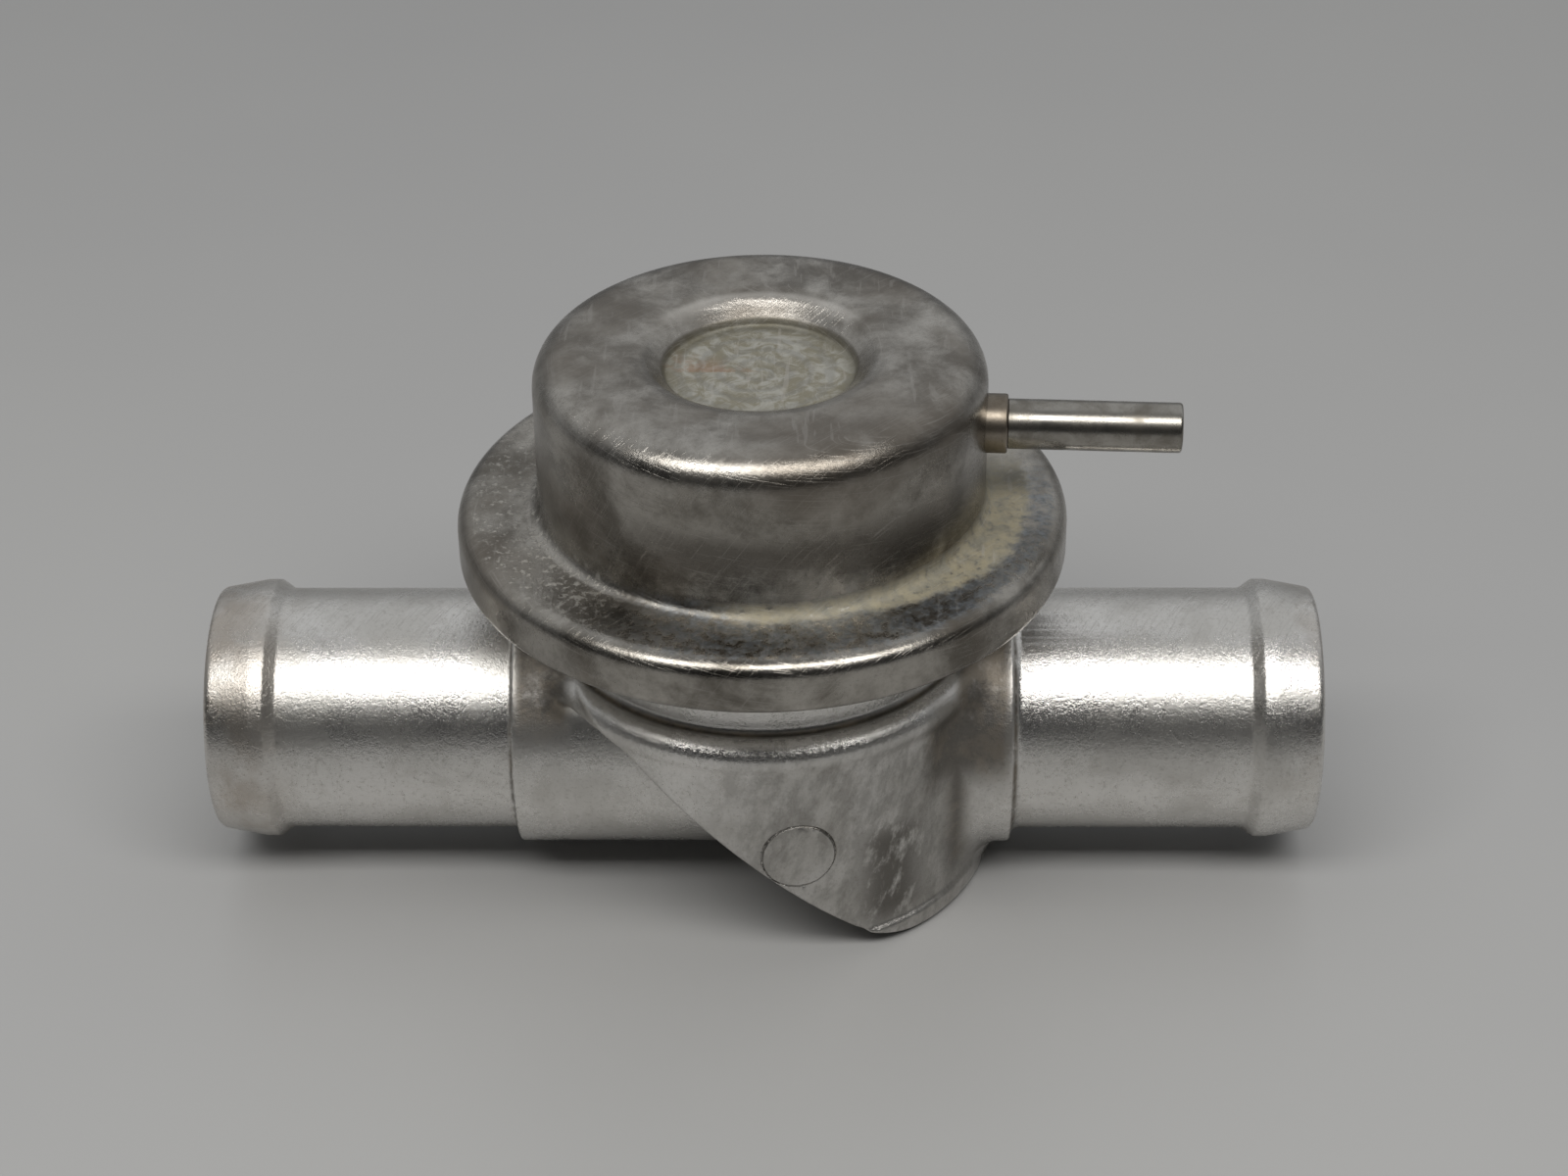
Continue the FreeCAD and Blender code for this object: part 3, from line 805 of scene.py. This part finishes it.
def can_steel():
    net = Net("can_steel")
    radius, angle = net.polar()
    cloud = net.noise(9 * MM, 6, 0.66, twist=0.25)
    smudge = net.noise(17 * MM, 5, 0.55, twist=0.3)
    patch = net.noise(2.6 * MM, 5, 0.65, twist=0.3)
    fine = net.noise(0.35 * MM, 4, 0.72)
    speck = net.noise(0.8 * MM, 5, 0.72)
    top = net.step(net.z, can_top_z / MM - 4.5, can_top_z / MM - 1.5)
    floor, floor_colour, swirl = dimple_floor(net, radius, angle, patch)
    white, zinc, beige = rim_deposits(net, radius, angle, speck)
    crust = net.highest(beige, white, net.times(zinc, 0.7))
    # painted shade on the dimple's steep wall
    wall = net.band(radius, 9.25, 9.75, 0.2)
    # painted highlight on the dimple's far lip
    dimple_lip_highlight = net.times(net.band(radius, 10.8, 12.0, 0.4), net.step(net.y, 5, 9.5))
    wipe = scratches(net, (0.5, 0.2, 0.9), 5.0 * MM, 0.10 * MM, 0.61)
    around = scratches(net, (math.pi / 2, 0.15, 0), 7.0 * MM, 0.12 * MM, 0.60)
    marks = net.highest(wipe, around)

    light = net.mix(top, (0.40, 0.38, 0.345), (0.46, 0.44, 0.405))
    dark = net.mix(top, (0.13, 0.118, 0.10), (0.17, 0.155, 0.135))
    colour = net.mix(net.step(cloud, 0.34, 0.66), light, dark)
    colour = net.mix(net.times(net.step(smudge, 0.48, 0.66), 0.55), colour, (0.20, 0.175, 0.145))
    colour = net.mix(net.times(net.step(patch, 0.52, 0.72), 0.35), colour, (0.15, 0.135, 0.115))
    colour = net.mix(net.times(net.step(fine, 0.50, 0.72), 0.40), colour, (0.19, 0.175, 0.155))
    # painted shade low on the front of the wall, and smudges at the back of the top
    shade = can_shade_and_smudge(net, radius, angle, cloud, top)
    colour = net.mix(net.times(shade, 0.78), colour, (0.09, 0.08, 0.068))
    # painted highlight on the dimple's far lip
    colour = net.mix(net.times(dimple_lip_highlight, 0.42), colour, (0.86, 0.82, 0.76))
    # painted shade on the dimple's steep wall
    colour = net.mix(net.times(wall, 0.85), colour, (0.06, 0.053, 0.042))
    colour = net.mix(floor, colour, floor_colour)
    beige_colour = net.mix(net.step(patch, 0.4, 0.62), (0.345, 0.305, 0.20), (0.25, 0.23, 0.165))
    zinc_colour = net.mix(net.step(speck, 0.42, 0.6), (0.15, 0.17, 0.19), (0.30, 0.33, 0.36))
    colour = net.mix(net.times(zinc, 0.75), colour, zinc_colour)
    colour = net.mix(net.times(white, 0.6), colour, (0.50, 0.49, 0.46))
    colour = net.mix(net.times(beige, 0.8), colour, beige_colour)
    colour = net.mix(net.times(marks, 0.3), colour, (0.42, 0.40, 0.37))
    roughness = net.blend(net.step(smudge, 0.35, 0.65), 0.19, 0.30)
    roughness = net.plus(roughness, net.times(net.step(fine, 0.45, 0.8), 0.08))
    roughness = net.blend(net.highest(floor, wall), roughness, 0.55)
    roughness = net.blend(crust, roughness, 0.60)
    matt = net.highest(beige, net.times(floor, 0.7), net.times(white, 0.6))
    metallic = net.math("SUBTRACT", 1.0, net.times(matt, 0.85))
    normal = net.bump(fine, 0.04 * MM, 0.6)
    normal = net.bump(speck, 0.035 * MM, 0.4, normal)
    normal = net.bump(patch, 0.05 * MM, 0.35, normal)
    normal = net.bump(marks, 0.008 * MM, 0.6, normal)
    normal = net.bump(net.times(swirl, floor), 0.04 * MM, 0.6, normal)
    normal = net.bump(net.times(crust, speck), 0.07 * MM, 0.8, normal)
    return net.finish(colour, roughness, normal, metallic)


def turned_steel(name, light, dark, rough, stain=None):
    """Bare or plated steel with fine turning lines, specks and patches."""
    net = Net(name)
    cloud = net.noise(4 * MM, 5, 0.6, twist=0.4)
    fine = net.noise(0.2 * MM, 3, 0.7)
    colour = net.mix(net.step(cloud, 0.35, 0.68), light, dark)
    if stain is not None:
        colour = net.mix(net.times(net.step(fine, 0.5, 0.75), 0.5), colour, stain)
    roughness = net.blend(net.step(cloud, 0.3, 0.7), rough, rough + 0.14)
    normal = net.bump(fine, 0.01 * MM, 0.5)
    return net.finish(colour, roughness, normal)


def moulded_rubber(name, light, dark, weave):
    """Matt rubber, bloomed grey in places, with a fabric's print; weave in millimetres."""
    net = Net(name)
    cloud = net.noise(5 * MM, 5, 0.6)
    colour = net.mix(net.step(cloud, 0.4, 0.7), dark, light)
    across_x = net.math("SINE", net.times(net.x, 2 * math.pi / weave))
    across_y = net.math("SINE", net.times(net.y, 2 * math.pi / weave))
    print_height = net.times(across_x, across_y)
    roughness = net.blend(net.step(cloud, 0.3, 0.7), 0.62, 0.8)
    normal = net.bump(print_height, 0.02 * MM, 0.5)
    normal = net.bump(net.noise(0.15 * MM, 3, 0.7), 0.01 * MM, 0.5, normal)
    return net.finish(colour, roughness, normal, 0.0)


def pale_floor():
    net = Net("pale_floor")
    cloud = net.noise(0.2, 4, 0.5)
    colour = net.mix(net.step(cloud, 0.3, 0.7), (0.375, 0.375, 0.375), (0.40, 0.40, 0.395))
    normal = net.bump(net.noise(1.2 * MM, 3, 0.6), 0.02 * MM, 0.2)
    return net.finish(colour, 0.42, normal, 0.0)


def cover(obj, material):
    obj.data.materials.clear()
    obj.data.materials.append(material)


# ---- Build ----
PLATED = turned_steel(
    "plated_steel", (0.66, 0.63, 0.54), (0.50, 0.47, 0.40), 0.30, (0.42, 0.38, 0.30)
)
SEAL_RUBBER = moulded_rubber("seal_rubber", (0.075, 0.07, 0.065), (0.03, 0.028, 0.026), 0.5)
SPRING_STEEL = turned_steel(
    "spring_steel", (0.45, 0.45, 0.46), (0.26, 0.26, 0.27), 0.28, (0.30, 0.22, 0.16)
)
NIPPLE_STEEL = turned_steel(
    "nipple_steel", (0.37, 0.355, 0.325), (0.20, 0.185, 0.16), 0.20, (0.16, 0.14, 0.12)
)
BRAZE = turned_steel(
    "braze", (0.30, 0.265, 0.22), (0.16, 0.135, 0.105), 0.28, (0.10, 0.08, 0.06)
)
BRONZE = turned_steel(
    "bronze", (0.62, 0.42, 0.22), (0.42, 0.27, 0.14), 0.38, (0.25, 0.16, 0.09)
)
STEM_STEEL = turned_steel(
    "stem_steel", (0.66, 0.66, 0.66), (0.52, 0.52, 0.52), 0.20, (0.40, 0.39, 0.38)
)

CAD_MATERIALS = {
    "body_gasket": moulded_rubber("gasket_fibre", (0.30, 0.27, 0.23), (0.19, 0.17, 0.145), 0.8),
    "guide_plate": PLATED,
    "guide_bush": BRONZE,
    "stem_seal": SEAL_RUBBER,
    "seal_retainer": PLATED,
    "diaphragm_plate": PLATED,
    "diaphragm_cup": PLATED,
    "stem_washer": PLATED,
    "stem_sleeve": PLATED,
    "valve_stem": STEM_STEEL,
    "valve_disc": PLATED,
    "valve_seal": SEAL_RUBBER,
    "backing_washer": PLATED,
    "valve_clip": SPRING_STEEL,
}


def add_piece(obj, node, material):
    """Gives a new piece its material, and puts it in the place of its CAD node."""
    cover(obj, material)
    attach(obj, "housing")
    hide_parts(node)
    return obj


add_piece(make_casting(), "valve_body", cast_aluminium())
add_piece(make_can(), "vacuum_can", can_steel())
add_piece(make_nipple(), "vacuum_nipple", NIPPLE_STEEL)
add_piece(make_collar(), "nipple_collar", BRAZE)

spring = make_spring()
add_piece(spring, "return_spring", SPRING_STEEL)
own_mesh(spring)

skin = make_diaphragm()
cover(skin, moulded_rubber("diaphragm_rubber", (0.06, 0.06, 0.062), (0.022, 0.022, 0.023), 0.7))
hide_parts("diaphragm")
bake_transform(skin)

for node, material in CAD_MATERIALS.items():
    cover(frame["nodes"][node], material)


# ---- Stage ----
def make_floor():
    half = 2.0
    mesh = bpy.data.meshes.new("floor")
    corners = [(-half, -half, 0), (half, -half, 0), (half, half, 0), (-half, half, 0)]
    mesh.from_pydata(corners, [], [(0, 1, 2, 3)])
    floor = new_object("floor", mesh)
    cover(floor, pale_floor())


def add_light(name, elevation_deg, azimuth_deg, away, size, power, colour):
    """A soft light that looks at the object; azimuth 0 is in front, positive to the right."""
    elevation = math.radians(elevation_deg)
    azimuth = math.radians(azimuth_deg)
    direction = Vector((
        math.sin(azimuth) * math.cos(elevation),
        -math.cos(azimuth) * math.cos(elevation),
        math.sin(elevation),
    ))
    data = bpy.data.lights.new(name, "AREA")
    data.shape = "RECTANGLE"
    data.size, data.size_y = size
    data.energy = power
    data.color = colour
    light = bpy.data.objects.new(name, data)
    light.location = Vector((0, 0, 0.03)) + direction * away
    light.rotation_euler = direction.to_track_quat("Z", "Y").to_euler()
    bpy.context.scene.collection.objects.link(light)


def add_sky():
    """Pale overhead and behind, darker low down on the camera's side."""
    world = bpy.data.worlds.new("studio")
    bpy.context.scene.world = world
    world.use_nodes = True
    tree = world.node_tree
    split = tree.nodes.new("ShaderNodeSeparateXYZ")
    tree.links.new(tree.nodes.new("ShaderNodeTexCoord").outputs["Generated"], split.inputs[0])

    def stepped(socket, low, high, dark, light):
        made = tree.nodes.new("ShaderNodeMapRange")
        made.interpolation_type = "SMOOTHSTEP"
        tree.links.new(socket, made.inputs[0])
        for target, number in zip(made.inputs[1:5], (low, high, dark, light)):
            target.default_value = number
        return made.outputs[0]

    behind = stepped(split.outputs[1], -0.35, 0.35, 0.0, 1.0)
    high = stepped(split.outputs[2], 0.1, 0.5, 0.22, 0.57)
    bright = tree.nodes.new("ShaderNodeMath")
    bright.operation = "MULTIPLY"
    tree.links.new(behind, bright.inputs[0])
    tree.links.new(high, bright.inputs[1])
    total = tree.nodes.new("ShaderNodeMath")
    total.operation = "ADD"
    tree.links.new(bright.outputs[0], total.inputs[0])
    total.inputs[1].default_value = 0.03
    background = tree.nodes["Background"]
    tree.links.new(total.outputs[0], background.inputs["Strength"])
    background.inputs["Color"].default_value = (0.97, 0.985, 1.0, 1)


def add_camera():
    """Three-quarter view from above the front, at the height of a hand-held camera."""
    elevation = math.radians(33.1)
    yaw = math.radians(1.24)
    roll = math.radians(-0.69)
    away = 0.338
    target = Vector((0.0021, 0, pipe_z + 0.01487))
    back = Vector((
        math.sin(yaw) * math.cos(elevation),
        -math.cos(yaw) * math.cos(elevation),
        math.sin(elevation),
    ))
    right = Vector((math.cos(yaw), math.sin(yaw), 0))
    up = back.cross(right)
    rolled_right = right * math.cos(roll) + up * math.sin(roll)
    rolled_up = up * math.cos(roll) - right * math.sin(roll)
    turn = Matrix((rolled_right, rolled_up, back)).transposed().to_4x4()
    data = bpy.data.cameras.new("camera")
    data.sensor_width = 36
    data.lens = 75.9
    data.clip_start = 0.01
    camera = bpy.data.objects.new("camera", data)
    camera.matrix_world = Matrix.Translation(target + back * away) @ turn
    bpy.context.scene.collection.objects.link(camera)
    bpy.context.scene.camera = camera


make_floor()
add_light("key_strip", 61, 0, 0.6, (0.9, 0.19), 3.7, (1.0, 0.985, 0.96))
add_sky()
add_camera()
bpy.context.scene.view_settings.view_transform = "Standard"
